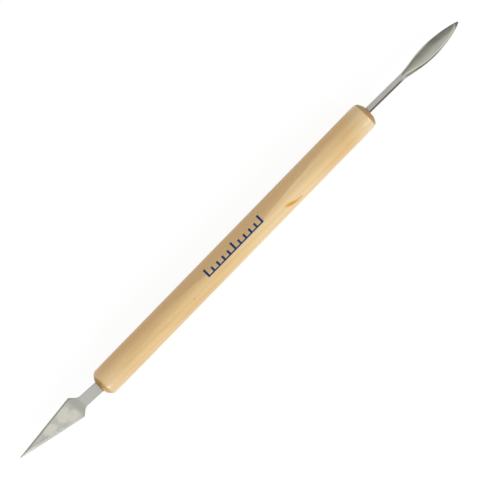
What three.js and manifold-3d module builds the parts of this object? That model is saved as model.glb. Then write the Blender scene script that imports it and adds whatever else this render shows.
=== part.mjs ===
// Double-ended pottery tool: a turned wooden handle with a steel blade glued into each end.
// Millimetres. The tool lies on its handle: +X runs along the handle to the leaf blade, +Z is up,
// and the origin is under the middle of the whole tool, on the surface that it lies on.

import * as THREE from 'three';
import { mergeVertices } from 'three/addons/utils/BufferGeometryUtils.js';
import Module from 'manifold-3d';

const wasm = await Module();
wasm.setup();

// Handle: a dowel with a rounded end at each blade
const handleDiameter = 10;
const handleLength = 127.95;
const handleSides = 20; // a multiple of four, so that one flat faces straight down
const spearEndSlope = 54; // degrees from the axis to the cone of the end
const spearEndRound = 1.9; // radius that carries the cone into the cylinder
const leafEndSlope = 64;
const leafEndRound = 2.3;
const mouthLand = 0.15; // least ring of end face left round a socket

// Sockets: blind holes drilled slightly off line, which is why the blades lean
const drillPoint = 118; // degrees, the cone at the bottom
const socketSpare = 2; // depth left past the end of a tang
const spearLean = 3.67; // degrees that the spear points toward +Y
const spearOffset = 0.2; // from the handle's axis to the middle of the mouth
const leafLean = 1.37; // degrees that the leaf points toward -Y
const leafOffset = 0.4;

// Clearances
const mouthClearance = 0.3; // from the corners of the spear's neck to its socket
const glueGap = 0.25; // from the glue to the wood and to the steel
const glueRecess = 0.3; // from the mouth of a socket down to the glue

// Spear blade: flat bar, with lengths measured from the mouth of its socket along its own middle
const spearReach = 35.65;
const spearWidth = 8.35;
const spearThickness = 1.2;
const spearEdgeThickness = 0.3;
const spearBevel = 0.8; // width of the ground band along each cutting edge
const spearTipWidth = 0.3;
const tipFlatShare = 0.1; // least share of the width that the bevels leave flat near the tip
const shoulderReach = 10.6;
const shoulderSlope = 42; // degrees from the neck to the back of the shoulder
const shoulderRound = 0.4;
const neckFillet = 3;
const neckWidth = 4;
const neckThickness = 1.6;
const neckBreak = 0.15; // chamfer on the edges of neck and tang
const neckDepth = 1.2; // part of the neck inside the socket
const tangShoulder = 0.65; // step on each side from neck to tang
const spearTangDepth = 20;
const spearTangEnd = 1.8; // width of the tang at its end

// Leaf blade: round rod forged flat at its end, measured the same way
const rodDiameter = 2.35;
const leafReach = 42.3;
const leafLength = 26;
const leafWidth = 5.25;
const leafWidest = 13.8; // from the tip back to the widest place
const leafFrontPower = 0.8; // lower is a blunter point
const leafBackPower = 1.35; // higher is a slimmer throat
const leafThickness = 1.1;
const leafTipThickness = 0.4;
const leafTipWidth = 0.3;
const leafRim = 0.6; // band between the crowned face and the outer edge
const leafCrown = 0.2; // height of the middle of the face above its own edge
const leafRoll = 12; // degrees that the -Y edge is turned up
const leafShift = 0.14; // how far the broad part lies toward -Y
const leafShiftRun = 4; // length of throat over which it moves there
const leafTipBend = 0.24; // how far the point turns back toward +Y
const leafBendRun = 8; // length behind the point over which it turns
const leafGlueWall = 0.3; // thickness of the glue sleeve
const leafTangDepth = 22;
const rodChamfer = 0.4; // at the hidden end of the rod

// Fineness of the curves
const roundSteps = 8;
const socketSides = 32;
const faceSteps = 10; // divisions across the crowned face of the leaf
const leafSteps = 14; // divisions along each half of the leaf
const tipCrowding = 1.5; // higher puts more of them near the tip

const radians = THREE.MathUtils.degToRad;
const handleRadius = handleDiameter / 2;
const rodRadius = rodDiameter / 2;
const spearSocketRadius = Math.hypot(neckWidth, neckThickness) / 2 + mouthClearance;
const leafSocketRadius = rodRadius + leafGlueWall + 2 * glueGap;
const neckReach = shoulderReach - (spearWidth - neckWidth) / 2 / Math.tan(radians(shoulderSlope));

// Solids

function toSolid(geometry) {
  const bare = geometry.clone();
  bare.deleteAttribute('normal');
  bare.deleteAttribute('uv');
  const merged = mergeVertices(bare);
  const corners = merged.index.array;
  const kept = [];
  for (let i = 0; i < corners.length; i += 3) {
    const [a, b, c] = corners.slice(i, i + 3);
    if (a !== b && b !== c && c !== a) {
      kept.push(a, b, c);
    }
  }
  return new wasm.Manifold(new wasm.Mesh({
    numProp: 3,
    vertProperties: new Float32Array(merged.attributes.position.array),
    triVerts: new Uint32Array(kept),
  }));
}

function toGeometry(solid) {
  const { vertProperties, triVerts } = solid.getMesh();
  const geometry = new THREE.BufferGeometry();
  geometry.setAttribute('position', new THREE.BufferAttribute(vertProperties, 3));
  geometry.setIndex(new THREE.BufferAttribute(triVerts, 1));
  geometry.computeVertexNormals();
  return geometry;
}

// Skin over rings of equally many points, which go round +X by the right-hand rule as x grows
function loft(rings) {
  const sides = rings[0].length;
  const corners = [];
  const lastRing = (rings.length - 1) * sides;
  for (let r = 0; r < rings.length - 1; r++) {
    for (let i = 0; i < sides; i++) {
      const a = r * sides + i;
      const b = r * sides + (i + 1) % sides;
      corners.push(a, b, a + sides, b, b + sides, a + sides);
    }
  }
  for (let i = 1; i < sides - 1; i++) {
    corners.push(0, i + 1, i);
    corners.push(lastRing, lastRing + i, lastRing + i + 1);
  }
  const geometry = new THREE.BufferGeometry().setFromPoints(rings.flat());
  geometry.setIndex(corners);
  geometry.computeVertexNormals();
  return geometry;
}

// Solid of revolution about X from points (radius, x), with a flat of its skin facing -Z
function turned(profile, sides) {
  const overCorners = 1 / Math.cos(Math.PI / sides);
  const points = profile.map(([radius, x]) => new THREE.Vector2(radius * overCorners, x));
  return new THREE.LatheGeometry(points, sides, Math.PI / sides).rotateZ(-Math.PI / 2);
}

// Outline through corners; a corner with a round gets an arc of that radius
function outline(corners) {
  return corners.flatMap(({ x, y, round }, i) => {
    const here = new THREE.Vector2(x, y);
    if (!round) {
      return [here];
    }
    const back = new THREE.Vector2().copy(corners[i - 1]).sub(here).normalize();
    const ahead = new THREE.Vector2().copy(corners[i + 1]).sub(here).normalize();
    const half = Math.acos(back.dot(ahead)) / 2;
    const middle = back.clone().add(ahead).normalize().multiplyScalar(round / Math.sin(half)).add(here);
    const start = back.clone().multiplyScalar(round / Math.tan(half)).add(here);
    const sweep = (2 * half - Math.PI) * Math.sign(back.cross(ahead));
    return Array.from({ length: roundSteps + 1 }, (_, step) => (
      start.clone().rotateAround(middle, sweep * step / roundSteps)
    ));
  });
}

// Handle

// Points (radius, distance from the end face), up the cone and round to the cylinder
function endCurve(faceRadius, slopeDegrees, wantedRound) {
  const slope = radians(slopeDegrees);
  const cone = (handleRadius - faceRadius) / Math.tan(slope);
  const round = Math.min(wantedRound, cone / Math.tan(slope / 2) / Math.cos(slope));
  const reach = cone + round * Math.tan(slope / 2);
  const curve = [[faceRadius, 0]];
  for (let step = 0; step <= roundSteps; step++) {
    const turn = slope * (1 - step / roundSteps);
    curve.push([handleRadius - round * (1 - Math.cos(turn)), reach - round * Math.sin(turn)]);
  }
  return curve;
}

function handleBlank() {
  const spearFace = spearSocketRadius + spearOffset + mouthLand;
  const leafFace = leafSocketRadius + leafOffset + mouthLand;
  const spearCurve = endCurve(spearFace, spearEndSlope, spearEndRound);
  const leafCurve = endCurve(leafFace, leafEndSlope, leafEndRound);
  return turned([
    [0, 0],
    ...spearCurve,
    ...leafCurve.map(([radius, x]) => [radius, handleLength - x]).reverse(),
    [0, handleLength],
  ], handleSides);
}

// A drilled hole, or what fills it: depth to the start of the drill's cone, top above the mouth
function drilled(radius, depth, top) {
  const cone = radius / Math.tan(radians(drillPoint / 2));
  return turned([[0, -depth - cone], [radius, -depth], [radius, top], [0, top]], socketSides);
}

// Spear blade

// From the tang to the tip, with a corner where the bevels close in on the face's flat
function spearHalfOutline() {
  const closing = spearBevel / (1 - tipFlatShare);
  const slant = (spearReach - shoulderReach) / (spearWidth - spearTipWidth) * 2;
  return outline([
    { x: -spearTangDepth, y: spearTangEnd / 2 },
    { x: -neckDepth - tangShoulder, y: neckWidth / 2 - tangShoulder },
    { x: -neckDepth, y: neckWidth / 2 },
    { x: neckReach, y: neckWidth / 2, round: neckFillet },
    { x: shoulderReach, y: spearWidth / 2, round: shoulderRound },
    { x: spearReach - (closing - spearTipWidth / 2) * slant, y: closing },
    { x: spearReach, y: spearTipWidth / 2 },
  ]);
}

// Eight points round the section: flat faces, sloping bands and narrow edges
function spearRing(x, half, grown) {
  const blade = THREE.MathUtils.smoothstep(x, neckReach, shoulderReach);
  const fullBand = THREE.MathUtils.lerp(neckBreak, spearBevel, blade);
  const faceHeight = THREE.MathUtils.lerp(neckThickness, spearThickness, blade) / 2;
  const edgeHeight = THREE.MathUtils.lerp(neckThickness / 2 - neckBreak, spearEdgeThickness / 2, blade);
  const band = Math.min(fullBand, half * (1 - tipFlatShare));
  const low = edgeHeight + grown;
  const high = edgeHeight + (faceHeight - edgeHeight) * band / fullBand + grown;
  const outer = half + grown;
  const inner = outer - band;
  return [
    [outer, low], [inner, high], [-inner, high], [-outer, low],
    [-outer, -low], [-inner, -high], [inner, -high], [outer, -low],
  ].map(([y, z]) => new THREE.Vector3(x, y, z));
}

function spearGeometry() {
  return loft(spearHalfOutline().map((point) => spearRing(point.x, point.y, 0)));
}

// Room for the neck and tang in the glue, from under the tang to outside the mouth
function spearSlot() {
  const inside = spearHalfOutline().filter((point) => point.x < 0);
  const rings = inside.map((point) => spearRing(point.x, point.y, glueGap));
  const bottom = rings[0].map((point) => point.clone().setX(-spearTangDepth - glueGap));
  const top = rings.at(-1).map((point) => point.clone().setX(handleRadius));
  return loft([bottom, ...rings, top]);
}

// Leaf blade

// Half width of the leaf and rod, with x measured back from the tip
function leafHalf(back) {
  const full = leafWidth / 2;
  if (back < leafWidest) {
    const front = Math.sin(Math.PI / 2 * (back / leafWidest) ** leafFrontPower);
    return leafTipWidth / 2 + (full - leafTipWidth / 2) * front;
  }
  const rise = Math.max(0, (leafLength - back) / (leafLength - leafWidest));
  return rodRadius + (full - rodRadius) * Math.sin(Math.PI / 2 * rise) ** leafBackPower;
}

// Sections of the rod and of the leaf, with matching points: along the top, then from edge to edge
// under the belly
function rodSection(half, height) {
  const first = Math.PI / (faceSteps + 2);
  const angles = [];
  for (let i = 0; i <= faceSteps; i++) {
    angles.push(first + (Math.PI - 2 * first) * i / faceSteps);
  }
  for (let i = 0; i <= faceSteps; i++) {
    angles.push(Math.PI + Math.PI * i / faceSteps);
  }
  return angles.map((angle) => [half * Math.cos(angle), height * Math.sin(angle)]);
}

function leafSection(half, halfThickness) {
  const face = half - Math.min(leafRim, half / 2);
  const arris = Math.max(halfThickness - leafCrown, halfThickness / 2);
  const section = [];
  for (let i = 0; i <= faceSteps; i++) {
    const across = Math.cos(Math.PI * i / faceSteps);
    section.push([face * across, arris + (halfThickness - arris) * (1 - across ** 2)]);
  }
  for (let i = 0; i <= faceSteps; i++) {
    const angle = Math.PI + Math.PI * i / faceSteps;
    section.push([half * Math.cos(angle), halfThickness * Math.sin(angle)]);
  }
  return section;
}

function leafRing(back) {
  const half = leafHalf(back);
  const flat = THREE.MathUtils.smoothstep(leafLength - back, 0, leafLength - leafWidest);
  const towardTip = THREE.MathUtils.clamp(1 - back / leafWidest, 0, 1);
  const thickness = THREE.MathUtils.lerp(leafThickness, leafTipThickness, towardTip ** 2);
  const leaf = leafSection(half, thickness / 2);
  const shift = leafShift * THREE.MathUtils.smoothstep(leafLength - back, 0, leafShiftRun);
  const bend = leafTipBend * Math.max(0, 1 - back / leafBendRun) ** 2;
  return rodSection(half, rodRadius).map(([y, z], i) => new THREE.Vector3(
    leafReach - back,
    THREE.MathUtils.lerp(y, leaf[i][0], flat) - shift + bend,
    THREE.MathUtils.lerp(z, leaf[i][1], flat),
  ));
}

function leafGeometry() {
  const rodRing = (x, radius) => (
    rodSection(radius, radius).map(([y, z]) => new THREE.Vector3(x, y, z))
  );
  const rings = [
    rodRing(-leafTangDepth, rodRadius - rodChamfer),
    rodRing(rodChamfer - leafTangDepth, rodRadius),
  ];
  for (let i = 0; i < leafSteps; i++) {
    rings.push(leafRing(THREE.MathUtils.lerp(leafLength, leafWidest, i / leafSteps)));
  }
  for (let i = 0; i <= leafSteps; i++) {
    rings.push(leafRing(leafWidest * (1 - i / leafSteps) ** tipCrowding));
  }
  return loft(rings);
}

// Assembly

function named(name, geometry, color, roughness, metalness) {
  const mesh = new THREE.Mesh(geometry, new THREE.MeshStandardMaterial({ color, roughness, metalness }));
  mesh.name = name;
  return mesh;
}

// A group whose x runs out of a socket's mouth, with the socket and the glue that fits it
function socketGroup(x, y, turn, radius, tangDepth) {
  const group = new THREE.Group();
  group.position.set(x, y, 0);
  group.rotation.z = turn;
  group.updateMatrix();
  const depth = tangDepth + socketSpare;
  const hole = drilled(radius, depth, handleRadius).applyMatrix4(group.matrix);
  const plug = toSolid(drilled(radius - glueGap, depth - glueGap, -glueRecess));
  return { group, hole: toSolid(hole), plug };
}

const spearEnd = socketGroup(
  0, spearOffset, Math.PI - radians(spearLean), spearSocketRadius, spearTangDepth,
);
const leafEnd = socketGroup(
  handleLength, leafOffset, -radians(leafLean), leafSocketRadius, leafTangDepth,
);

const handle = named(
  'handle',
  toGeometry(toSolid(handleBlank()).subtract(spearEnd.hole).subtract(leafEnd.hole)),
  '#d9bd8f', 0.45, 0,
);

const spearGlue = toGeometry(spearEnd.plug.subtract(toSolid(spearSlot())));
spearEnd.group.add(
  named('spear_blade', spearGeometry(), '#bebdb5', 0.35, 1),
  named('spear_glue', spearGlue, '#b98d4d', 0.3, 0),
);

const leafRoom = drilled(rodRadius + glueGap, leafTangDepth + glueGap, handleRadius);
const leafGlue = toGeometry(leafEnd.plug.subtract(toSolid(leafRoom)));
const leafBlade = named('leaf_blade', leafGeometry(), '#94958d', 0.35, 1);
leafBlade.rotation.x = -radians(leafRoll);
leafEnd.group.add(leafBlade, named('leaf_glue', leafGlue, '#b98d4d', 0.3, 0));

const spearTip = -spearReach * Math.cos(radians(spearLean));
const leafTip = handleLength + leafReach * Math.cos(radians(leafLean));

const tool = new THREE.Group();
tool.position.set(-(spearTip + leafTip) / 2, 0, handleRadius);
tool.add(handle, spearEnd.group, leafEnd.group);

export default tool;
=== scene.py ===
# Double-ended pottery tool: a lacquered wooden handle with a steel blade glued into each end.
# Metres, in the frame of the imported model. Sizes in the dictionaries are millimetres and degrees.
import math

import bpy
from mathutils import Matrix, Vector


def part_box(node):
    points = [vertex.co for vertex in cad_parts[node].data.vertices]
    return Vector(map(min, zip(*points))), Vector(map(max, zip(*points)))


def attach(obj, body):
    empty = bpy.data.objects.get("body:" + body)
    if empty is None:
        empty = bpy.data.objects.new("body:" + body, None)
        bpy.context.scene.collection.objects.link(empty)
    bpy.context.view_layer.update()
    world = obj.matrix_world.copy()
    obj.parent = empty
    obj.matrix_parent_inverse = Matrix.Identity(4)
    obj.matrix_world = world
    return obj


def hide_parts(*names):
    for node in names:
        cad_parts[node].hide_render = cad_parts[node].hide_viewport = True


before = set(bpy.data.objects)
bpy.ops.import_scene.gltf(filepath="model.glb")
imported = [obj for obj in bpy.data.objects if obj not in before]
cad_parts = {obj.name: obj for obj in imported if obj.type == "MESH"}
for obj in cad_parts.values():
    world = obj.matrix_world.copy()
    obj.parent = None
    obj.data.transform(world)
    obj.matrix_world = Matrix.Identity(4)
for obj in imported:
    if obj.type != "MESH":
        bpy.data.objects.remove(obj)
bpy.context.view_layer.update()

mm = 0.001  # the materials' ranges are in millimetres too, and like their shares were given one by one
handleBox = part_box("handle")
handleStart = handleBox[0].x / mm
handleEnd = handleBox[1].x / mm
axisHeight = (handleBox[0].z + handleBox[1].z) / 2 / mm
print("frame loaded, handle from", round(handleStart, 2), "to", round(handleEnd, 2), "mm")


class Field:  # a node's output, for use in expressions
    def __init__(self, board, socket):
        self.board = board
        self.socket = socket

    def math(self, operation, *others):
        return self.board.make("ShaderNodeMath", {"operation": operation}, [self, *others])[0]

    def __add__(self, other):
        return self.math("ADD", other)

    def __sub__(self, other):
        return self.math("SUBTRACT", other)

    def __rsub__(self, other):
        return self * -1 + other

    def __mul__(self, other):
        return self.math("MULTIPLY", other)

    def __truediv__(self, other):
        return self.math("DIVIDE", other)

    __radd__ = __add__
    __rmul__ = __mul__

    def rise(self, start, end):  # 0 at start, 1 at end, smooth between
        return self.board.make(
            "ShaderNodeMapRange", {"interpolation_type": "SMOOTHSTEP"},
            {"Value": self, "From Min": start, "From Max": end},
        )["Result"]

    def near(self, middle, reach, core=0.2):  # 1 about a middle, fading to 0 at its reach
        return 1 - ((self - middle) / reach).math("ABSOLUTE").rise(core, 1.0)


class Board:  # a node tree that nodes are laid out on
    def __init__(self, tree):
        self.tree = tree

    def make(self, kind, settings=None, values=()):
        node = self.tree.nodes.new(kind)
        for name, value in (settings or {}).items():
            setattr(node, name, value)
        for key, value in values.items() if isinstance(values, dict) else enumerate(values):
            if isinstance(value, Field):
                self.tree.links.new(value.socket, node.inputs[key])
            else:
                node.inputs[key].default_value = value
        return Outputs(self, node)

    def tint(self, factor, first, second):  # two colours, mixed by a factor
        return self.make("ShaderNodeMix", {"data_type": "RGBA"}, {0: factor, 6: first, 7: second})[2]

    def noise(self, place, detail, roughness=0.5, stretch=(1, 1, 1), shift=(0, 0, 0)):
        moved = self.make("ShaderNodeMapping", None, {
            "Vector": place, "Scale": stretch, "Location": shift,
        })[0]
        return self.make("ShaderNodeTexNoise", None, {
            "Vector": moved, "Scale": 1.0, "Detail": detail, "Roughness": roughness,
        })["Fac"]

    def millimetres(self, turn=(0, 0, 0), centre=(0, 0, 0)):  # object coordinates about a centre
        place = self.make("ShaderNodeTexCoord")["Object"]
        return self.make("ShaderNodeMapping", {"vector_type": "TEXTURE"}, {
            "Vector": place, "Location": [c * mm for c in centre], "Rotation": turn, "Scale": (mm, mm, mm),
        })[0]

    def parts(self, vector):  # its x, y and z
        split = self.make("ShaderNodeSeparateXYZ", None, [vector])
        return split[0], split[1], split[2]

    def oval(self, along, over, centre, size, turn=0.0, ragged=0.0):  # 1 inside, fading to 0
        angle = math.radians(turn)
        first, second = along - centre[0], over - centre[1]
        u = (first * math.cos(angle) + second * math.sin(angle)) / size[0]
        v = (second * math.cos(angle) - first * math.sin(angle)) / size[1]
        return 1 - (u * u + v * v + ragged).rise(0.3, 1.3)


class Outputs:  # the outputs of one node, by name or number
    def __init__(self, board, node):
        self.board = board
        self.node = node

    def __getitem__(self, key):
        return Field(self.board, self.node.outputs[key])


def fromHex(text):  # a colour as it looks on screen, to a shader's linear values
    channels = [int(text[i:i + 2], 16) / 255 for i in (1, 3, 5)]
    return tuple(c / 12.92 if c <= 0.04045 else ((c + 0.055) / 1.055) ** 2.4 for c in channels) + (1.0,)


def palette(look):  # the colours among a dictionary's values
    return {key: fromHex(value) for key, value in look.items() if str(value).startswith("#")}


def smooth(value, start, end):
    t = min(max((value - start) / (end - start), 0.0), 1.0)
    return t * t * (3 - 2 * t)


def blend(first, second, share):
    return first + (second - first) * share


def newMaterial(name):
    material = bpy.data.materials.new(name)
    material.use_nodes = True
    material.node_tree.nodes.clear()
    return material, Board(material.node_tree)


def finishMaterial(board, values):
    shader = board.make("ShaderNodeBsdfPrincipled", None, values)
    board.make("ShaderNodeOutputMaterial", None, {"Surface": shader["BSDF"]})


def bump(board, height, distance):  # distance in millimetres
    return board.make("ShaderNodeBump", None, {"Height": height, "Distance": distance * mm})["Normal"]


def newTree(name, inputs):
    tree = bpy.data.node_groups.new(name, "GeometryNodeTree")
    tree.interface.new_socket("Geometry", in_out="INPUT", socket_type="NodeSocketGeometry")
    for label, kind in inputs.items():
        tree.interface.new_socket(label, in_out="INPUT", socket_type=kind)
    tree.interface.new_socket("Geometry", in_out="OUTPUT", socket_type="NodeSocketGeometry")
    board = Board(tree)
    return tree, board, board.make("NodeGroupInput")


def endTree(board, geometry, material):
    real = board.make("GeometryNodeRealizeInstances", None, [geometry])[0]
    named = board.make("GeometryNodeSetMaterial", None, {"Geometry": real, "Material": material})[0]
    board.make("NodeGroupOutput", None, [named])


def newPiece(name, mesh):
    piece = bpy.data.objects.new(name, mesh)
    bpy.context.scene.collection.objects.link(piece)
    return piece


def grown(name, tree, sizes):  # a plain mesh from a geometry tree
    piece = newPiece(name, bpy.data.meshes.new(name))
    modifier = piece.modifiers.new("form", "NODES")
    modifier.node_group = tree
    for item in tree.interface.items_tree:
        if item.in_out == "INPUT" and item.name in sizes:
            modifier[item.identifier] = sizes[item.name]
    graph = bpy.context.evaluated_depsgraph_get()
    mesh = bpy.data.meshes.new_from_object(piece.evaluated_get(graph), depsgraph=graph)
    piece.modifiers.clear()
    piece.data = mesh
    mesh.name = name
    return piece


def lofted(name, rings, place, material, marks=None):  # skin over rings of equally many points
    sides = len(rings[0])
    corners = [place @ (Vector(point) * mm) for ring in rings for point in ring]
    faces = []
    for r in range(len(rings) - 1):
        for i in range(sides):
            a, b = r * sides + i, r * sides + (i + 1) % sides
            faces.append((a, b, b + sides, a + sides))
    faces.append(tuple(reversed(range(sides))))
    faces.append(tuple(range(len(corners) - sides, len(corners))))
    mesh = bpy.data.meshes.new(name)
    mesh.from_pydata(corners, [], faces)
    for label, values in (marks or {}).items():
        mark = mesh.attributes.new(label, "FLOAT", "POINT")
        mark.data.foreach_set("value", values)
    mesh.shade_smooth()
    mesh.materials.append(material)
    mesh.validate()
    return newPiece(name, mesh)


corner = {
    "straight": 89,  # half of the angle past which nothing is left to round
    "room": 0.45,  # most of the shorter side that a rounding takes
}


def cornerArc(before, here, after, radius, steps):  # a corner of a path, rounded
    if not radius:
        return [here]
    back, ahead = (before - here).normalized(), (after - here).normalized()
    half = back.angle(ahead) / 2
    if half > math.radians(corner["straight"]):
        return [here.copy() for _ in range(steps + 1)]
    room = corner["room"] * min((before - here).length, (after - here).length)
    reach = min(radius / math.tan(half), room)
    middle = here + (back + ahead).normalized() * (reach / math.cos(half))
    first, last = here + back * reach - middle, here + ahead * reach - middle
    sweep = math.pi - 2 * half
    shares = [step / steps for step in range(steps + 1)]
    return [
        middle + (first * math.sin((1 - s) * sweep) + last * math.sin(s * sweep)) / math.sin(sweep)
        for s in shares
    ]


# Handle: a turned and drilled dowel

handle = {
    "radius": 4.99,
    "sides": 128,
    "stations": 130,
    "crowding": 0.94,  # how strongly the stations gather at the two ends
    "spearFace": 2.804, "spearSlope": 54, "spearRound": 1.9,
    "leafFace": 2.525, "leafSlope": 64, "leafRound": 2.3,
    "spearSocket": 2.454, "spearDepth": 22.0, "spearOffset": 0.2, "spearLean": 3.67,
    "leafSocket": 1.975, "leafDepth": 24.0, "leafOffset": 0.4, "leafLean": 1.37,
    "countersink": 0.12,
    "drillSides": 96, "drillSpare": 3.0,  # the drill starts this far outside
    "crease": 28,
}

wood = {
    "pale": "#eccb92", "warm": "#e3bb7c", "light": "#f5d9a5", "line": "#cb9b5c", "ray": "#bd965c",
    "zone": "#d2aa70", "fleck": "#e2a634", "fleckCore": "#bd861c", "spot": "#8d6a3c", "warmSide": "#f7c584",
    "endGrain": "#a07c3a", "orangeEnd": "#c28c48", "mouth": "#5a4a20", "paleEnd": "#f2dcb2",
    "leafGrain": "#a48c62", "leafOrange": "#b87c38", "gleam": "#fff2dc",
    "ringSpacing": 1.7, "ringBend": 1.1, "pith": (0, -21, -33),
    "lightPlace": 17.0, "lightReach": 34.0,
    "zoneEdge": 0.32, "zoneSwing": 0.38, "zoneCrest": 2.0, "zoneRepeat": 110.0, "zoneFar": 2.35,
    "zoneSoft": 0.07,
    "fleckPlace": (20.65, -3.25), "fleckSize": (2.8, 0.85), "fleckTurn": -24,
    "tailPlace": (23.6, -4.1), "tailSize": (2.3, 0.55), "tailTurn": -8,
    "spotPlace": (-24.6, -2.2), "spotSize": (0.4, 0.22), "spotTurn": 70,
    "gleams": (((57.0, -2.4), (1.5, 0.7)), ((-64.7, -2.35), (0.9, 0.6))),
    "spearStain": (1.4, 1.9), "leafStain": (-0.9, 2.6),  # middle and reach across the handle
    "spearMouth": (0.5, 1.9), "leafMouth": (0.4, 2.2),
    "rayScale": (0.75, 3.4, 3.4), "poreScale": (0.9, 16, 16),
    "roughness": 0.42, "lacquer": 0.35, "pooledLacquer": 0.65, "lacquerRoughness": 0.2,
}


def woodMaterial(look):
    material, board = newMaterial("lacqueredWood")
    place = board.millimetres(centre=(0, 0, axisHeight))
    x, y, z = board.parts(place)
    turn = y.math("ARCTAN2", z)  # 0 on top, towards +Y
    around = turn * handle["radius"]
    colour = palette(look)

    wander = board.noise(place, 2, stretch=(0.012, 0.09, 0.09))
    fine = board.noise(place, 3, 0.6, stretch=(0.05, 1.3, 1.3), shift=(4, 2, 0))
    _, pithY, pithZ = look["pith"]
    across = y - pithY + x * 0.02
    depth = z - pithZ + wander * look["ringBend"] * 4
    distance = (across * across + depth * depth).math("SQRT") + fine * look["ringBend"] * 0.3
    phase = (distance / look["ringSpacing"]).math("FRACT")
    ring = phase.rise(0.25, 0.93) * (1 - phase.rise(0.93, 1.0))  # pale early wood to a darker line

    cloud = board.noise(place, 3, 0.55, stretch=(0.035, 0.22, 0.22), shift=(11, 3, 7))
    body = board.tint(cloud.rise(0.32, 0.68), colour["pale"], colour["warm"])
    body = board.tint(x.near(look["lightPlace"], look["lightReach"]) * 0.8, body, colour["light"])
    body = board.tint(ring * 0.2, body, colour["line"])

    rays = board.make("ShaderNodeTexVoronoi", {"feature": "F1"}, {
        "Vector": board.make("ShaderNodeMapping", None, {"Vector": place, "Scale": look["rayScale"]})[0],
        "Scale": 1.0, "Randomness": 1.0,
    })["Distance"]
    raySpots = 1 - rays.rise(0.1, 0.3)
    pores = board.noise(place, 2, 0.7, stretch=look["poreScale"], shift=(1, 5, 9)).rise(0.6, 0.78)
    body = board.tint(raySpots * cloud.rise(0.42, 0.7) * 0.2, body, colour["ray"])
    body = board.tint(pores * 0.12, body, colour["ray"])

    # Painted shade over the side away from the lamps (+Y), with a wavy, mottled edge
    swing = ((x - look["zoneCrest"]) * (2 * math.pi / look["zoneRepeat"])).math("COSINE")
    wobble = (board.noise(place, 3, 0.6, stretch=(0.09, 0.35, 0.35), shift=(3, 8, 1)) - 0.5) * 0.35
    nearEdge = turn - (look["zoneEdge"] - swing * look["zoneSwing"] + wobble)
    farEdge = (look["zoneFar"] + swing * 0.2 + wobble) - turn
    zone = nearEdge.rise(-look["zoneSoft"], look["zoneSoft"]) * farEdge.rise(-0.2, 0.2)
    mottle = board.noise(place, 2, 0.6, stretch=(0.55, 1.1, 1.1), shift=(7, 1, 2))
    body = board.tint(zone * (0.6 + swing * 0.15 + (mottle - 0.5) * 0.5), body, colour["zone"])
    # Painted fill light: the +Y side lightened and warmed where the lamps don't reach
    warmSide = turn.rise(0.15, 0.8) * (1 - turn.rise(0.8, 1.4) * 0.6) * (1 - turn.rise(1.6, 2.4))
    body = board.tint(warmSide * 0.5, body, colour["warmSide"])

    ragged = (fine - 0.5) * 1.1
    fleck = board.oval(x, around, look["fleckPlace"], look["fleckSize"], look["fleckTurn"], ragged)
    body = board.tint(fleck * 0.92, body, colour["fleck"])
    cores = (
        (look["fleckPlace"], [side * 0.55 for side in look["fleckSize"]], look["fleckTurn"]),
        (look["tailPlace"], look["tailSize"], look["tailTurn"]),
    )
    for centre, size, slant in cores:
        core = board.oval(x, around, centre, size, slant, ragged)
        body = board.tint(core * 0.5, body, colour["fleckCore"])
    spot = board.oval(x, around, look["spotPlace"], look["spotSize"], look["spotTurn"])
    body = board.tint(spot * 0.5, body, colour["spot"])

    # Painted sheen lightens the wood behind each end, most on the lamps' side (-Y). The ends' bare grain is
    # dark under painted shade, most of all in the painted shadow beside the steel
    fromSpearEnd, fromLeafEnd, toNear = x - handleStart, handleEnd - x, y * -1
    paleEnd = (1 - fromLeafEnd.rise(2.5, 14.0)) * (0.3 + toNear.rise(0.5, 2.5) * 0.25)
    sheenBand = fromSpearEnd.rise(1.2, 2.5) * (1 - fromSpearEnd.rise(4.0, 15.0))
    spearSheen = sheenBand * toNear.rise(-2.0, 0.5) * 0.35
    body = board.tint(paleEnd + spearSheen, body, colour["paleEnd"])
    for centre, size in look["gleams"]:
        body = board.tint(board.oval(x, around, centre, size) * 0.25, body, colour["gleam"])
    # The ends darken: bare end grain with painted shade over it, less on the lamps' side
    upper = y.near(*look["spearStain"], 0.3)
    lower = toNear.rise(-1.2, 1.1)
    spearEnd = 1 - (fromSpearEnd - upper * 0.4 - lower * 0.3 + (fine - 0.5) * 0.6).rise(0.55, 1.7)
    leafEnd = 1 - (fromLeafEnd + (fine - 0.5) * 0.4).rise(1.35, 1.95)
    faint = 0.88 - toNear.rise(0.6, 2.6) * 0.35
    spearStain = board.tint(lower, colour["endGrain"], colour["orangeEnd"])
    body = board.tint(spearEnd * faint, body, spearStain)
    # Painted highlight on the lit side of the spear end's slope
    litEndSheen = (1 - fromSpearEnd.rise(0.3, 1.0)) * toNear.rise(0.6, 1.8) * 0.45
    body = board.tint(litEndSheen, body, colour["paleEnd"])
    orange = y.near(*look["leafStain"])
    leafStain = board.tint(orange * 0.8, colour["leafGrain"], colour["leafOrange"])
    body = board.tint(leafEnd * 0.85, body, leafStain)
    # Painted shadow in each mouth, beside the spear's neck and the leaf's rod
    spearMouthShadow = (1 - fromSpearEnd.rise(0.2, 0.9)) * y.near(*look["spearMouth"])
    rodMouthShadow = (1 - fromLeafEnd.rise(0.3, 1.3)) * y.near(*look["leafMouth"])
    body = board.tint(spearMouthShadow * 0.52 + rodMouthShadow * 0.2, body, colour["mouth"])

    ends = spearEnd.math("MAXIMUM", leafEnd)
    pooled = 1 - fromSpearEnd.math("MINIMUM", fromLeafEnd).rise(2.5, 7.0)
    grainHeight = ring * 0.35 + pores * -0.5 + fine * 0.3 + raySpots * -0.15
    finishMaterial(board, {
        "Base Color": body,
        "Roughness": look["roughness"] + (mottle - 0.5) * 0.1 + pores * 0.08 + ends * 0.2,
        "Specular IOR Level": 0.5,
        "Coat Weight": (1 - ends) * (look["lacquer"] + pooled * look["pooledLacquer"]),
        "Coat Roughness": look["lacquerRoughness"],
        "Normal": bump(board, grainHeight, 0.02),
    })
    return material


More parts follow.
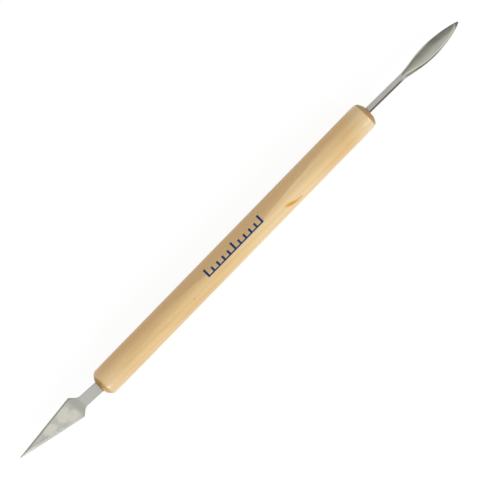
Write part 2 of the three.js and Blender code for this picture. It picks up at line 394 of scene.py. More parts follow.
def turnedTree(sizes, material):
    floats = ("Length", "Radius", "Spear Face", "Spear Slope", "Spear Round", "Leaf Face", "Leaf Slope",
              "Leaf Round", "Crowding", "Countersink")
    drills = [f"{end} {part}" for end in ("Spear", "Leaf") for part in ("Socket", "Depth", "Offset", "Lean")]
    kinds = {label: "NodeSocketFloat" for label in (*floats, *drills)}
    kinds.update({"Sides": "NodeSocketInt", "Stations": "NodeSocketInt", "Start": "NodeSocketVector"})
    tree, board, given = newTree("turnedHandle", kinds)

    line = board.make("GeometryNodeMeshLine", {"mode": "OFFSET"}, {
        "Count": given["Stations"], "Offset": (1, 0, 0),
    })[0]
    share = board.make("GeometryNodeInputIndex")[0] / (given["Stations"] - 1)
    wave = 0.5 - (share * math.pi).math("COSINE") * 0.5
    crowded = share + (wave - share) * given["Crowding"]
    along = crowded * given["Length"]

    def endRadius(distance, face, slope, rounding):  # straight up the cone, then round to the cylinder
        cone = (given["Radius"] - face) / slope.math("TANGENT")
        reach = cone + rounding * (slope * 0.5).math("TANGENT")
        past = (reach - distance).math("MAXIMUM", 0.0)
        height = (rounding * rounding - past * past).math("MAXIMUM", 0.0).math("SQRT")
        arc = given["Radius"] - rounding + height
        straight = face + distance * slope.math("TANGENT")
        onArc = distance.math("GREATER_THAN", reach - rounding * slope.math("SINE"))
        return straight + (arc - straight) * onArc

    atSpear = endRadius(along, given["Spear Face"], given["Spear Slope"], given["Spear Round"])
    atLeaf = endRadius(
        given["Length"] - along, given["Leaf Face"], given["Leaf Slope"], given["Leaf Round"],
    )
    place = board.make("ShaderNodeCombineXYZ", None, {"X": along})[0]
    spaced = board.make("GeometryNodeSetPosition", None, {"Geometry": line, "Position": place})[0]
    stations = board.make("GeometryNodeStoreNamedAttribute", {"data_type": "FLOAT", "domain": "POINT"}, {
        "Geometry": spaced, "Name": "girth", "Value": atSpear.math("MINIMUM", atLeaf),
    })[0]
    path = board.make("GeometryNodeMeshToCurve", None, [stations])[0]
    girth = board.make("GeometryNodeInputNamedAttribute", {"data_type": "FLOAT"}, {"Name": "girth"})[0]
    circle = board.make("GeometryNodeCurvePrimitiveCircle", {"mode": "RADIUS"}, {
        "Resolution": given["Sides"], "Radius": 1.0,
    })[0]
    blank = board.make("GeometryNodeCurveToMesh", None, {
        "Curve": path, "Profile Curve": circle, "Scale": girth, "Fill Caps": True,
    })[0]

    def drill(end, outward):  # a blind hole with a small countersink, about the middle of its mouth
        depth, radius = given[f"{end} Depth"], given[f"{end} Socket"]
        bit = board.make("GeometryNodeMeshCone", {"fill_type": "NGON"}, {
            "Vertices": sizes["drillSides"], "Radius Top": radius, "Radius Bottom": radius,
            "Depth": depth + sizes["drillSpare"] * mm,
        })[0]
        point = board.make("GeometryNodeMeshCone", {"fill_type": "NGON"}, {
            "Vertices": sizes["drillSides"], "Radius Top": radius + given["Countersink"] * 2,
            "Radius Bottom": radius - given["Countersink"], "Depth": given["Countersink"] * 3,
        })[0]
        mouthX = 0.0 if outward < 0 else given["Length"]
        mouth = board.make("ShaderNodeCombineXYZ", None, {"X": mouthX, "Y": given[f"{end} Offset"]})[0]
        both = board.make("GeometryNodeMeshBoolean", {"operation": "UNION", "solver": "EXACT"})
        cuts = ((bit, depth, given[f"{end} Lean"] * -1), (point, given["Countersink"] * 2, 0.0))
        for shape, sunk, lean in cuts:  # the bit leans, the countersink is square to the face
            shift = board.make("ShaderNodeCombineXYZ", None, {"Z": sunk * -1})[0]
            turn = board.make("ShaderNodeCombineXYZ", None, {"Y": math.pi / 2 * outward, "Z": lean})[0]
            lowered = board.make("GeometryNodeTransform", None, {"Geometry": shape, "Translation": shift})[0]
            placed = board.make("GeometryNodeTransform", None, {
                "Geometry": lowered, "Translation": mouth, "Rotation": turn,
            })[0]
            board.tree.links.new(placed.socket, both.node.inputs["Mesh 2"])
        return both["Mesh"]

    drilled = board.make("GeometryNodeMeshBoolean", {"operation": "DIFFERENCE", "solver": "EXACT"}, {
        "Mesh 1": blank,
    })
    for bit in (drill("Spear", -1), drill("Leaf", 1)):
        board.tree.links.new(bit.socket, drilled.node.inputs["Mesh 2"])
    moved = board.make("GeometryNodeTransform", None, {
        "Geometry": drilled["Mesh"], "Translation": given["Start"],
    })[0]
    endTree(board, moved, material)
    return tree


def buildHandle(sizes, material):
    named = {
        "Length": handleEnd - handleStart, "Radius": sizes["radius"], "Countersink": sizes["countersink"],
        "Spear Face": sizes["spearFace"], "Spear Round": sizes["spearRound"],
        "Leaf Face": sizes["leafFace"], "Leaf Round": sizes["leafRound"],
        "Spear Socket": sizes["spearSocket"], "Spear Depth": sizes["spearDepth"],
        "Spear Offset": sizes["spearOffset"],
        "Leaf Socket": sizes["leafSocket"], "Leaf Depth": sizes["leafDepth"],
        "Leaf Offset": sizes["leafOffset"],
    }
    inputs = {label: value * mm for label, value in named.items()}
    inputs.update({
        "Spear Slope": math.radians(sizes["spearSlope"]), "Leaf Slope": math.radians(sizes["leafSlope"]),
        "Spear Lean": math.radians(sizes["spearLean"]), "Leaf Lean": math.radians(sizes["leafLean"]),
        "Crowding": sizes["crowding"], "Sides": sizes["sides"], "Stations": sizes["stations"],
        "Start": (handleStart * mm, 0, axisHeight * mm),
    })
    piece = grown("turned_handle", turnedTree(sizes, material), inputs)
    piece.data.shade_smooth()
    piece.data.set_sharp_from_angle(angle=math.radians(sizes["crease"]))
    return piece


turnedHandle = buildHandle(handle, woodMaterial(wood))
print("handle turned:", len(turnedHandle.data.polygons), "faces")

# Tick scale printed on the handle, plain and without figures

scale = {
    "middle": -2.9, "ticks": 11, "pitch": 2.52,
    "side": 1.0,  # distance from the top of the handle towards +Y
    "width": 0.8, "short": 2.0, "long": 3.2, "every": 5, "line": 0.5, "ink": 0.01,
    "colour": "#08346a", "worn": "#2a5c96", "roughness": 0.6,
}


def inkMaterial(look):
    material, board = newMaterial("printedInk")
    place = board.millimetres(centre=(0, 0, axisHeight))
    wear = board.noise(place, 3, 0.7, stretch=(2.3, 2.3, 2.3))
    colour = board.tint(wear.rise(0.45, 0.75), fromHex(look["colour"]), fromHex(look["worn"]))
    finishMaterial(board, {
        "Base Color": colour,
        "Roughness": look["roughness"] + (wear - 0.5) * 0.3,
        "Specular IOR Level": 0.2,
        "Normal": bump(board, wear, 0.003),
    })
    return material


def scaleTree(material):
    floats = ("Middle", "Pitch", "Side", "Width", "Short", "Long", "Line", "Ink", "Radius", "Axis Height")
    kinds = {label: "NodeSocketFloat" for label in floats}
    kinds.update({"Ticks": "NodeSocketInt", "Every": "NodeSocketInt"})
    tree, board, given = newTree("tickScale", kinds)
    span = (given["Ticks"] - 1) * given["Pitch"]
    start = board.make("ShaderNodeCombineXYZ", None, {"X": given["Middle"] - span * 0.5})[0]
    step = board.make("ShaderNodeCombineXYZ", None, {"X": given["Pitch"]})[0]
    row = board.make("GeometryNodeMeshLine", {"mode": "OFFSET"}, {
        "Count": given["Ticks"], "Start Location": start, "Offset": step,
    })[0]
    index = board.make("GeometryNodeInputIndex")[0]
    isLong = 1 - index.math("MODULO", given["Every"]).math("MINIMUM", 1.0)
    height = given["Short"] + (given["Long"] - given["Short"]) * isLong
    size = board.make("ShaderNodeCombineXYZ", None, {
        "X": given["Width"], "Y": height, "Z": given["Ink"],
    })[0]
    bar = board.make("GeometryNodeMeshCube", None, {
        "Size": (1, 1, 1), "Vertices X": 3, "Vertices Y": 12, "Vertices Z": 2,
    })[0]
    foot = board.make("GeometryNodeTransform", None, {"Geometry": bar, "Translation": (0, 0.5, 0.5)})[0]
    marks = board.make("GeometryNodeInstanceOnPoints", None, {
        "Points": row, "Instance": foot, "Scale": size,
    })[0]
    # The line is a little short and low, so that it shares no face with a tick
    lineSize = board.make("ShaderNodeCombineXYZ", None, {
        "X": span - given["Width"] * 0.9, "Y": given["Line"], "Z": given["Ink"] * 0.8,
    })[0]
    lineStart = board.make("ShaderNodeCombineXYZ", None, {"X": given["Middle"]})[0]
    line = board.make("GeometryNodeTransform", None, {
        "Geometry": foot, "Translation": lineStart, "Scale": lineSize,
    })[0]
    joined = board.make("GeometryNodeJoinGeometry", None, [marks])
    board.tree.links.new(line.socket, joined.node.inputs[0])
    flat = board.make("GeometryNodeRealizeInstances", None, [joined[0]])[0]
    x, y, z = board.parts(board.make("GeometryNodeInputPosition")[0])
    angle = (y + given["Side"] - given["Long"] * 0.5) / given["Radius"]
    radius = given["Radius"] + z
    wrapped = board.make("ShaderNodeCombineXYZ", None, {
        "X": x, "Y": radius * angle.math("SINE"), "Z": radius * angle.math("COSINE") + given["Axis Height"],
    })[0]
    bent = board.make("GeometryNodeSetPosition", None, {"Geometry": flat, "Position": wrapped})[0]
    endTree(board, bent, material)
    return tree


def buildScale(sizes, material):
    named = {
        "Middle": sizes["middle"], "Pitch": sizes["pitch"], "Side": sizes["side"], "Width": sizes["width"],
        "Short": sizes["short"], "Long": sizes["long"], "Line": sizes["line"], "Ink": sizes["ink"],
        "Radius": handle["radius"], "Axis Height": axisHeight,
    }
    inputs = {label: value * mm for label, value in named.items()}
    inputs.update({"Ticks": sizes["ticks"], "Every": sizes["every"]})
    return grown("tick_scale", scaleTree(material), inputs)


tickScale = buildScale(scale, inkMaterial(scale))
print("scale printed:", len(tickScale.data.polygons), "faces")

# Spear blade: flat bar, forged and ground

spear = {
    "reach": 35.65, "width": 8.35, "thickness": 1.2, "edge": 0.3, "bevel": 0.8, "tip": 0.3,
    "tipFlat": 0.1,  # least share of the width that the bevels leave flat
    "shoulder": 10.6, "slope": 42, "shoulderRound": 0.4, "neckFillet": 3.0,
    "neck": 4.0, "neckThickness": 1.6, "neckBreak": 0.15, "neckDepth": 1.2,
    "tangStep": 0.65, "tangDepth": 20.0, "tangEnd": 1.8,
    "arris": 0.06, "edgeRound": 0.06, "arcSteps": 3, "cornerSteps": 10, "spacing": 0.8,
    "faceCuts": (0.04, 0.25, 0.5, 0.75, 0.96),  # where the flat face is divided
    "crease": 40,
}

spearSteel = {
    "plain": "#bdbcb4", "pale": "#d3d0c1", "dull": "#b0b0aa", "forged": "#a6a59b", "neck": "#b7b6b0",
    "ground": "#92918c", "dark": "#8a8a82", "stain": "#a9a78e",
    "patches": (((15.4, -1.0), (2.7, 2.6)), ((13.1, 2.0), (2.6, 2.1)), ((22.1, 0.0), (2.9, 2.2))),
    "patchTurn": 20,
    "worn": ((26.0, 1.2), (2.8, 1.4)),
    "neckEnd": (6.2, 8.6),  # where the neck's tone gives way to the blade's
    "roughness": 0.36,
}

spearPlace = (
    Matrix.Translation((handleStart * mm, handle["spearOffset"] * mm, axisHeight * mm))
    @ Matrix.Rotation(math.pi - math.radians(handle["spearLean"]), 4, "Z")
)


def spearOutline(sizes):  # half widths along the blade, from the tang to the tip
    step = (sizes["width"] - sizes["neck"]) / 2
    neckReach = sizes["shoulder"] - step / math.tan(math.radians(sizes["slope"]))
    corners = [
        (-sizes["tangDepth"], sizes["tangEnd"] / 2, 0),
        (-sizes["neckDepth"] - sizes["tangStep"], sizes["neck"] / 2 - sizes["tangStep"], 0),
        (-sizes["neckDepth"], sizes["neck"] / 2, 0),
        (neckReach, sizes["neck"] / 2, sizes["neckFillet"]),
        (sizes["shoulder"], sizes["width"] / 2, sizes["shoulderRound"]),
        (sizes["reach"], sizes["tip"] / 2, 0),
    ]
    points = [Vector(corner[:2]) for corner in corners]
    path = []
    for i, (_, _, radius) in enumerate(corners):
        before, after = points[max(i - 1, 0)], points[min(i + 1, len(points) - 1)]
        arc = cornerArc(before, points[i], after, radius, sizes["cornerSteps"])
        if path:
            gap = arc[0] - path[-1]
            pieces = max(1, round(gap.length / sizes["spacing"]))
            path += [path[-1] + gap * k / pieces for k in range(1, pieces)]
        path += arc
    return path, neckReach


def spearRing(sizes, x, half, neckReach):  # a section of the blade, with its bevels
    blade = smooth(x, neckReach, sizes["shoulder"])
    fullBand = blend(sizes["neckBreak"], sizes["bevel"], blade)
    high = blend(sizes["neckThickness"], sizes["thickness"], blade) / 2
    low = blend(sizes["neckThickness"] / 2 - sizes["neckBreak"], sizes["edge"] / 2, blade)
    band = min(fullBand, half * (1 - sizes["tipFlat"]))
    high = low + (high - low) * band / fullBand
    inner = half - band
    corners = [
        (half, low), (inner, high), (-inner, high), (-half, low),
        (-half, -low), (-inner, -high), (inner, -high), (half, -low),
    ]
    points = [Vector(corner) for corner in corners]
    arcs = []
    for i, here in enumerate(points):
        radius = sizes["arris"] if i in (1, 2, 5, 6) else sizes["edgeRound"]
        arcs.append(cornerArc(points[i - 1], here, points[(i + 1) % 8], radius, sizes["arcSteps"]))
    cuts = {0: (0.5,), 1: sizes["faceCuts"], 2: (0.5,), 3: (0.5,)}  # bevel, face, bevel, edge
    ring, edgeMarks = [], []
    for i, arc in enumerate(arcs):
        ring += arc
        edgeMarks += [0.1 if i in (1, 2, 5, 6) else 1.0] * len(arc)
        start, end = arc[-1], arcs[(i + 1) % 8][0]
        for share in cuts[i % 4]:
            ring.append(start + (end - start) * share)
            edgeMarks.append({0: 1 - share, 1: 0.0, 2: share, 3: 1.0}[i % 4])
    return [(x, y, z) for y, z in ring], edgeMarks


def steelGrain(board, place, along, over):  # fine scratches left by grinding
    return board.noise(place, 3, 0.65, stretch=(along, over, over))


def spearMaterial(look, sizes):
    material, board = newMaterial("groundSteel")
    turn = math.pi - math.radians(handle["spearLean"])
    place = board.millimetres((0, 0, turn), (handleStart, handle["spearOffset"], axisHeight))
    x, y, _ = board.parts(place)
    colour = palette(look)
    bevel = board.make("ShaderNodeAttribute", {"attribute_name": "bevel"})["Fac"]
    cloud = board.noise(place, 3, 0.6, stretch=(0.3, 0.45, 0.45), shift=(2.4, 1.1, 0))
    patch = board.noise(place, 2, 0.5, stretch=(0.42, 0.5, 0.5), shift=(9, 5, 0))
    mottle = board.noise(place, 3, 0.6, stretch=(0.9, 1.3, 1.3), shift=(5, 1, 3))
    scratch = steelGrain(board, place, 0.5, 14)
    nicks = steelGrain(board, place, 9, 1.2)

    body = board.tint(patch.rise(0.42, 0.66) * 0.55, colour["plain"], colour["dull"])
    for centre, size in look["patches"]:
        ragged = (cloud - 0.5) * 1.6 + (mottle - 0.5) * 1.4
        polished = board.oval(x, y, centre, size, look["patchTurn"], ragged)
        body = board.tint(polished * 0.8, body, colour["pale"])
    worn = board.oval(x, y, *look["worn"], ragged=(cloud - 0.5) * 1.2)
    body = board.tint(worn * 0.5, body, colour["forged"])
    # Darker across the shoulder: a forging tint, with painted shade of the slope
    skew = x + y * 0.3 + (cloud - 0.5) * 1.2
    forged = (1 - skew.rise(sizes["shoulder"] - 0.6, sizes["shoulder"] + 1.5)) * x.rise(6.6, 9.0)
    body = board.tint(forged * 0.9, body, colour["forged"])
    body = board.tint(x.rise(27.0, 33.0) * (y * -1).rise(-0.6, 0.4) * 0.4, body, colour["forged"])
    neck = 1 - x.rise(*look["neckEnd"])
    body = board.tint(neck, body, colour["neck"])
    onBlade = x.rise(8.0, sizes["shoulder"]) * (0.8 - x.rise(28.0, 33.0) * 0.25)
    farSide = (y * -1).rise(0.0, 0.3)
    # Painted shade along the bevel on the far (+Y) side
    body = board.tint(bevel.rise(0.15, 0.5) * x.rise(5.0, 8.0) * farSide * 0.85, body, colour["dark"])
    body = board.tint(bevel.rise(0.02, 0.12) * onBlade * (1 - farSide), body, colour["ground"])
    neckEdge = (y * y).rise(2.4, 3.8) * neck * (0.15 + nicks.rise(0.35, 0.6) * 0.45)
    body = board.tint(neckEdge, body, colour["dark"])
    body = board.tint(mottle.rise(0.6, 0.75) * 0.35, body, colour["stain"])
    body = board.tint(scratch.rise(0.35, 0.7) * 0.16, body, colour["dull"])

    roughness = look["roughness"] + (scratch - 0.5) * 0.22 + (patch - 0.5) * 0.12 + neck * 0.06
    finishMaterial(board, {
        "Base Color": body,
        "Metallic": 1.0,
        "Roughness": roughness,
        "Normal": bump(board, scratch * 0.6 + nicks * 0.25 + patch * 1.2, 0.012),
    })
    return material


def buildSpear(sizes, material):
    path, neckReach = spearOutline(sizes)
    rings, marks = [], []
    for point in path:
        ring, edgeMarks = spearRing(sizes, point.x, point.y, neckReach)
        rings.append(ring)
        marks += edgeMarks
    piece = lofted("spear_steel", rings, spearPlace, material, {"bevel": marks})
    piece.data.set_sharp_from_angle(angle=math.radians(sizes["crease"]))
    return piece


spearBlade = buildSpear(spear, spearMaterial(spearSteel, spear))
print("spear ground:", len(spearBlade.data.polygons), "faces")

# Leaf blade: round rod, forged flat at its end

leaf = {
    "rod": 1.175, "reach": 42.3, "length": 26.0, "width": 5.25, "widest": 13.8, "frontPower": 0.8,
    "backPower": 1.35, "thickness": 1.1, "tipThickness": 0.4, "tip": 0.3, "rim": 0.6, "crown": 0.2,
    "roll": 12, "shift": 0.14, "shiftRun": 4.0, "tipBend": 0.24, "bendRun": 8.0,
    "tangDepth": 22.0, "chamfer": 0.4,
    "cutStart": 0.6, "cutFull": 8.0, "cutFirst": 0.03, "cutPower": 0.51,  # how the flat face opens on the rod
    "faceSteps": 28, "rimSteps": 6, "bellySteps": 32, "rodSpacing": 2.0, "spacing": 0.45,
    "crowding": 1.25,  # over 1, the stations gather at the tip
    "crease": 50,
}

leafSteel = {
    "shade": "#6d6b64", "light": "#b7b4ab", "middle": "#96938a", "rim": "#e6e2d6", "outer": "#84837e",
    "olive": "#6f6e58", "cream": "#c2bea8", "moss": "#a2bf96", "rod": "#b4b2ab", "dark": "#55554f",
    "tip": "#434340", "belly": "#a19f97",
    "wedge": ((36.0, 0.55), (5.0, 0.9)), "wedgeTurn": -4,
    "facetReach": 1.35, "facetSide": 0.32,
    "roughness": 0.34,
}

leafPlace = (
    Matrix.Translation((handleEnd * mm, handle["leafOffset"] * mm, axisHeight * mm))
    @ Matrix.Rotation(-math.radians(handle["leafLean"]), 4, "Z")
    @ Matrix.Rotation(-math.radians(leaf["roll"]), 4, "X")
)


def leafHalf(sizes, back):  # half width, measured back from the tip
    full = sizes["width"] / 2
    if back < sizes["widest"]:
        front = math.sin(math.pi / 2 * (max(back, 0) / sizes["widest"]) ** sizes["frontPower"])
        return blend(sizes["tip"] / 2, full, front)
    rise = max(0.0, (sizes["length"] - back) / (sizes["length"] - sizes["widest"]))
    return blend(sizes["rod"], full, math.sin(math.pi / 2 * rise) ** sizes["backPower"])


def leafRing(sizes, back):  # a section of the body, with a crowned face cut across its top
    half = leafHalf(sizes, back)
    x = sizes["reach"] - back
    grown = sizes["length"] - back
    flat = smooth(grown, 0, sizes["length"] - sizes["widest"])
    towardTip = min(max(1 - back / sizes["widest"], 0), 1)
    thick = blend(sizes["thickness"], sizes["tipThickness"], towardTip ** 2) / 2
    crown = min(sizes["crown"], thick / 2)
    opened = min(max((grown - sizes["cutStart"]) / (sizes["cutFull"] - sizes["cutStart"]), 0), 1)
    fullShare = 1 - min(sizes["rim"], half / 2) / half
    faceShare = blend(sizes["cutFirst"], fullShare, opened ** sizes["cutPower"])
    atArris = math.sqrt(1 - faceShare ** 2)
    arris = blend(sizes["rod"] * atArris, thick - crown, flat)
    bend = sizes["tipBend"] * max(0, 1 - back / sizes["bendRun"]) ** 2
    shift = bend - sizes["shift"] * smooth(grown, 0, sizes["shiftRun"])
    faceHalf = half * faceShare
    ring, faceMarks, rimMarks = [], [], []

    def add(y, z, onFace, onRim):
        ring.append((x, y + shift, z))
        faceMarks.append(onFace)
        rimMarks.append(onRim)

    def outerBand(side, order):
        for i in order:
            near = i / sizes["rimSteps"]
            y = half - (half - faceHalf) * (1 - (1 - near) ** 2)
            add(side * y, arris / atArris * math.sqrt(max(0, 1 - (y / half) ** 2)), 0.0, near)

    outerBand(1, range(sizes["rimSteps"]))
    for i in range(sizes["faceSteps"] + 1):
        across = math.cos(math.pi * i / sizes["faceSteps"])
        z = arris + crown * flat * (1 - across ** 2)
        add(faceHalf * across, z, 1.0, smooth(abs(across), 0.93, 1.0))
    outerBand(-1, range(sizes["rimSteps"] - 1, -1, -1))
    belly = blend(sizes["rod"], thick, flat)
    for i in range(1, sizes["bellySteps"]):
        angle = math.pi + math.pi * i / sizes["bellySteps"]
        add(half * math.cos(angle), belly * math.sin(angle), 0.0, 0.0)
    return ring, faceMarks, rimMarks


def leafMaterial(look, sizes):
    material, board = newMaterial("forgedSteel")
    turn = -math.radians(handle["leafLean"])
    place = board.millimetres((0, 0, turn), (handleEnd, handle["leafOffset"], axisHeight))
    x, y, z = board.parts(place)
    colour = palette(look)
    onFace = board.make("ShaderNodeAttribute", {"attribute_name": "face"})["Fac"]
    arris = board.make("ShaderNodeAttribute", {"attribute_name": "rim"})["Fac"]
    scratch = steelGrain(board, place, 0.6, 12)
    cloud = board.noise(place, 3, 0.55, stretch=(0.3, 0.7, 0.7), shift=(1, 4, 2))
    speck = board.noise(place, 2, 0.6, stretch=(2.2, 3.5, 3.5), shift=(6, 2, 2))
    back = sizes["reach"] - x
    rodReach = sizes["reach"] - sizes["length"]
    onLeaf = x.rise(rodReach - 0.6, rodReach + 0.6)
    toNear = y * -1 + (cloud - 0.5) * 1.1  # towards -Y

    # Painted shade across the face, darker towards +Y and lighter towards the lamps
    face = board.tint(toNear.rise(-2.1, 1.8), colour["shade"], colour["light"])
    face = board.tint(back.rise(17, 23) * toNear.rise(-0.6, 1.2) * 0.5, face, colour["cream"])
    face = board.tint(cloud.rise(0.4, 0.7) * 0.25, face, colour["middle"])
    face = board.tint(back.rise(8.0, 12.5) * 0.06 + back.rise(16.0, 19.0) * 0.05, face, colour["moss"])
    # Painted light on the face near the tip
    face = board.tint((1 - back.rise(1.5, 3.5)) * 0.4, face, colour["light"])
    wedge = board.oval(x, y, *look["wedge"], look["wedgeTurn"], (cloud - 0.5) * 0.8)
    face = board.tint(wedge * 0.5, face, colour["shade"])
    nearSide = (y * -1).rise(-0.2, 0.2)
    # The near band's tones, with painted highlight towards the tip and painted shade behind it
    outer = board.tint(0.3 - back.rise(9.0, 13.0) * 0.3, colour["outer"], colour["rim"])
    outer = board.tint(back.rise(12.0, 14.5) * 0.5, outer, colour["shade"])
    outer = board.tint(back.rise(15.5, 18.5), outer, colour["olive"])
    outer = board.tint(back.rise(19.5, 22.5) * 0.4 + back.rise(24.4, 26.0) * 0.6, outer, colour["rod"])
    # The far band: painted shade, lighter at its outer edge and towards the rod
    farBand = board.tint((1 - arris.rise(0.0, 0.5)) * back.rise(4.0, 9.0), colour["shade"], colour["middle"])
    farBand = board.tint(back.rise(10.5, 16.0), farBand, colour["rod"])
    outer = board.tint(nearSide, farBand, outer)
    blade = board.tint(onFace.rise(0.4, 0.6), outer, face)
    # Painted shade along the far arris and a painted highlight along the near one
    farArrisShade = arris.rise(0.1, 0.5) * (1 - nearSide) * back.rise(16.0, 20.0) * (1 - back.rise(25.2, 26.4))
    blade = board.tint(farArrisShade * 0.85, blade, colour["shade"])
    arrisHighlight = arris.rise(0.3, 0.8) * nearSide * (0.85 + back.rise(15, 20) * 0.2 + (speck - 0.5) * 0.5)
    blade = board.tint(arrisHighlight, blade, colour["rim"])
    # Painted shade: a dark triangle at the tip, standing for a facet in shadow
    tipFacetShade = (look["facetReach"] - back - y).rise(-0.1, 0.1) * (look["facetSide"] - y).rise(-0.1, 0.1)
    blade = board.tint(tipFacetShade * 0.85, blade, colour["tip"])
    fromEdge = z + y * math.tan(math.radians(sizes["roll"]))  # above or below the blade's own edge
    blade = board.tint((1 - fromEdge.rise(-0.14, -0.04)) * 0.85, blade, colour["belly"])

    # Painted dark reflection along the rod's -Y side
    rodDarkReflection = (y * -1).rise(0.3, 0.62) * (1 - (y * -1).rise(1.0, 1.12)) * 0.9
    rod = board.tint(cloud.rise(0.35, 0.65) * 0.3, colour["rod"], colour["middle"])
    rod = board.tint(rodDarkReflection * (1 - x.rise(14.0, 16.5)), rod, colour["dark"])
    body = board.tint(onLeaf, rod, blade)
    body = board.tint(scratch.rise(0.4, 0.75) * 0.15, body, colour["shade"])

    finishMaterial(board, {
        "Base Color": body,
        "Metallic": 1.0,
        "Roughness": look["roughness"] + (scratch - 0.5) * 0.2 + (cloud - 0.5) * 0.1,
        "Normal": bump(board, scratch * 0.6 + cloud * 1.1, 0.012),
    })
    return material


def buildLeaf(sizes, material):
    rings, faceMarks, rimMarks = [], [], []

    def add(ring, onFace, onRim):
        rings.append(ring)
        faceMarks.extend(onFace)
        rimMarks.extend(onRim)

    start = leafRing(sizes, sizes["length"])
    shrunk = (sizes["rod"] - sizes["chamfer"]) / sizes["rod"]
    bare = [0.0] * len(start[0])
    rodLength = sizes["reach"] - sizes["length"] + sizes["tangDepth"]
    add([(-sizes["tangDepth"], y * shrunk, z * shrunk) for _, y, z in start[0]], bare, bare)
    pieces = round(rodLength / sizes["rodSpacing"])
    for k in range(pieces):
        x = -sizes["tangDepth"] + sizes["chamfer"] + (rodLength - sizes["chamfer"]) * k / pieces
        add([(x, y, z) for _, y, z in start[0]], bare, bare)
    stations = round(sizes["length"] / sizes["spacing"])
    for k in range(stations + 1):
        add(*leafRing(sizes, sizes["length"] * (1 - k / stations) ** sizes["crowding"]))
    piece = lofted("leaf_steel", rings, leafPlace, material, {"face": faceMarks, "rim": rimMarks})
    piece.data.set_sharp_from_angle(angle=math.radians(sizes["crease"]))
    return piece


leafBlade = buildLeaf(leaf, leafMaterial(leafSteel, leaf))
print("leaf forged:", len(leafBlade.data.polygons), "faces")

# Glue: a fillet of cured resin in each socket

glue = {
    "deep": "#6b4416", "clear": "#a87a38", "roughness": 0.22,
    "gap": 0.02, "atSteel": 0.3, "atWood": -0.12, "sag": 0.16, "steps": 8, "sides": 96,
    "neckDepth": 1.15,  # the glue that shows round the neck stops where the tang narrows
    "crease": 50,
}


def glueMaterial(look):
    material, board = newMaterial("amberGlue")
    place = board.millimetres()
    cloud = board.noise(place, 3, 0.6, stretch=(1.4, 1.4, 1.4))
    cells = board.make("ShaderNodeTexVoronoi", None, {"Vector": place, "Scale": 3.2})["Distance"]
    bubbles = 1 - cells.rise(0.05, 0.2)
    colour = board.tint(cloud.rise(0.35, 0.65), fromHex(look["deep"]), fromHex(look["clear"]))
    finishMaterial(board, {
        "Base Color": colour,
        "Roughness": look["roughness"] + (cloud - 0.5) * 0.2,
        "Coat Weight": 0.5,
        "Coat Roughness": 0.08,
        "Normal": bump(board, cloud + bubbles * 0.4, 0.03),
    })
    return material


def buildGlue(name, place, socket, depth, steel, material):  # fills the socket, drawn up the steel
    sides = glue["sides"]
    points, faces = [], []

    def ringAt(share, x):
        for i in range(sides):
            angle = i / sides * 2 * math.pi
            radius = blend(steel(angle), socket - glue["gap"], share)
            points.append((x, radius * math.cos(angle), radius * math.sin(angle)))

    for step in range(glue["steps"] + 1):
        share = step / glue["steps"]
        sagging = glue["sag"] * 4 * share * (1 - share)
        ringAt(share, blend(glue["atSteel"], glue["atWood"], share) - sagging)
    ringAt(1.0, -depth)
    ringAt(0.0, -depth)
    rings = len(points) // sides
    for r in range(rings):
        for i in range(sides):
            k, first, after = (i + 1) % sides, r * sides, (r + 1) % rings * sides
            faces.append((first + i, after + i, after + k, first + k))
    mesh = bpy.data.meshes.new(name)
    mesh.from_pydata([place @ (Vector(point) * mm) for point in points], [], faces)
    mesh.shade_smooth()
    mesh.set_sharp_from_angle(angle=math.radians(glue["crease"]))
    mesh.materials.append(material)
    return newPiece(name, mesh)


def neckReachAt(angle):  # distance from the axis to the flat neck's surface, with a hair of room
    wide, high = spear["neck"] / 2 + glue["gap"], spear["neckThickness"] / 2 + glue["gap"]
    return min(wide / max(abs(math.cos(angle)), 1e-6), high / max(abs(math.sin(angle)), 1e-6))


def rodReachAt(_):  # the same at every angle
    return leaf["rod"] + glue["gap"]


resin = glueMaterial(glue)
spearGlue = buildGlue("spear_resin", spearPlace, handle["spearSocket"], glue["neckDepth"], neckReachAt, resin)
leafGlue = buildGlue("leaf_resin", leafPlace, handle["leafSocket"], leaf["tangDepth"], rodReachAt, resin)
print("glue set")

# Every piece rides on the one body and stands for its CAD node

pieceTable = [
    (turnedHandle, "handle", "handle_wood"),
    (spearBlade, "spear_blade", "spear_steel"),
    (leafBlade, "leaf_blade", "leaf_steel"),
    (spearGlue, "spear_glue", "glue"),
    (leafGlue, "leaf_glue", "glue"),
]
for piece, node, slot in pieceTable:
    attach(piece, "root")
    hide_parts(node)
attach(tickScale, "root")
print("pieces ride on the root body")

# Studio: a pale floor, a white world and two large soft lamps

studio = {  # lengths in metres, but the sensor's in millimetres
    "ambient": 0.6, "floorShade": 0.14, "floorGlow": 0.9, "floorBounce": 0.35, "floorSize": 6.0,
    "lamps": ((0.63, -0.66, 0.41), (-0.63, -0.66, 0.41)),
    "lampDistance": 0.9, "lampSize": 0.45, "lampPower": 2.2,
    "cameraHeight": 0.995, "cameraX": 0.000107, "cameraY": 0.00076, "cameraTurn": -45.73,
    "frameWidth": 0.160, "sensor": 36.0,
}


def seenRays(board):  # 1 for what the camera, a mirror or a glass sees
    path = board.make("ShaderNodeLightPath")
    seen = path["Is Camera Ray"].math("MAXIMUM", path["Is Glossy Ray"])
    return seen.math("MAXIMUM", path["Is Transmission Ray"])


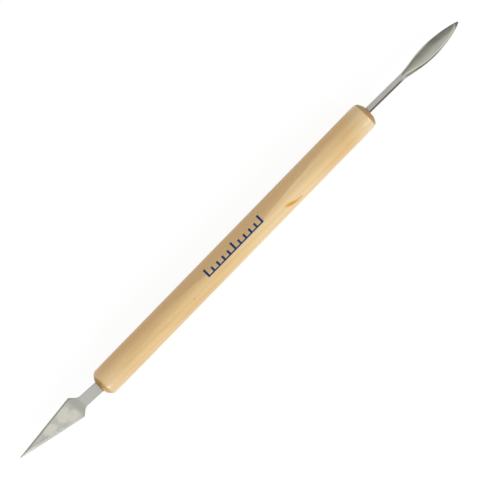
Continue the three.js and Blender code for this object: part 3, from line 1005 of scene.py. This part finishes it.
def buildStudio(look):
    world = bpy.data.worlds.new("studio")
    bpy.context.scene.world = world
    world.use_nodes = True
    world.node_tree.nodes.clear()
    board = Board(world.node_tree)
    strength = look["ambient"] + seenRays(board) * (1 - look["ambient"])
    sky = board.make("ShaderNodeBackground", None, {"Color": (1, 1, 1, 1), "Strength": strength})[0]
    board.make("ShaderNodeOutputWorld", None, {"Surface": sky})

    material, board = newMaterial("paleFloor")
    shade = look["floorShade"]
    glow = board.tint(seenRays(board), *((look[key],) * 3 + (1,) for key in ("floorBounce", "floorGlow")))
    finishMaterial(board, {
        "Base Color": (shade, shade, shade, 1), "Roughness": 1.0, "Specular IOR Level": 0.0,
        "Emission Color": glow, "Emission Strength": 1.0,
    })
    side = look["floorSize"] / 2
    mesh = bpy.data.meshes.new("floor")
    corners = [(-side, -side, 0), (side, -side, 0), (side, side, 0), (-side, side, 0)]
    mesh.from_pydata(corners, [], [(0, 1, 2, 3)])
    mesh.materials.append(material)
    newPiece("floor", mesh)

    for number, direction in enumerate(look["lamps"]):
        lamp = bpy.data.lights.new(f"softLamp{number}", "AREA")
        lamp.shape = "DISK"
        lamp.size = look["lampSize"]
        lamp.energy = look["lampPower"]
        lampObject = bpy.data.objects.new(lamp.name, lamp)
        bpy.context.scene.collection.objects.link(lampObject)
        outward = Vector(direction).normalized()
        lampObject.location = outward * look["lampDistance"]
        lampObject.rotation_euler = outward.to_track_quat("Z", "Y").to_euler()

    camera = bpy.data.cameras.new("camera")
    camera.sensor_width = look["sensor"]
    camera.lens = look["sensor"] * look["cameraHeight"] / look["frameWidth"]
    cameraObject = bpy.data.objects.new("camera", camera)
    bpy.context.scene.collection.objects.link(cameraObject)
    cameraObject.location = (look["cameraX"], look["cameraY"], axisHeight * mm + look["cameraHeight"])
    cameraObject.rotation_euler = (0, 0, math.radians(look["cameraTurn"]))
    bpy.context.scene.camera = cameraObject
    bpy.context.scene.view_settings.view_transform = "Standard"


buildStudio(studio)
print("studio lit")
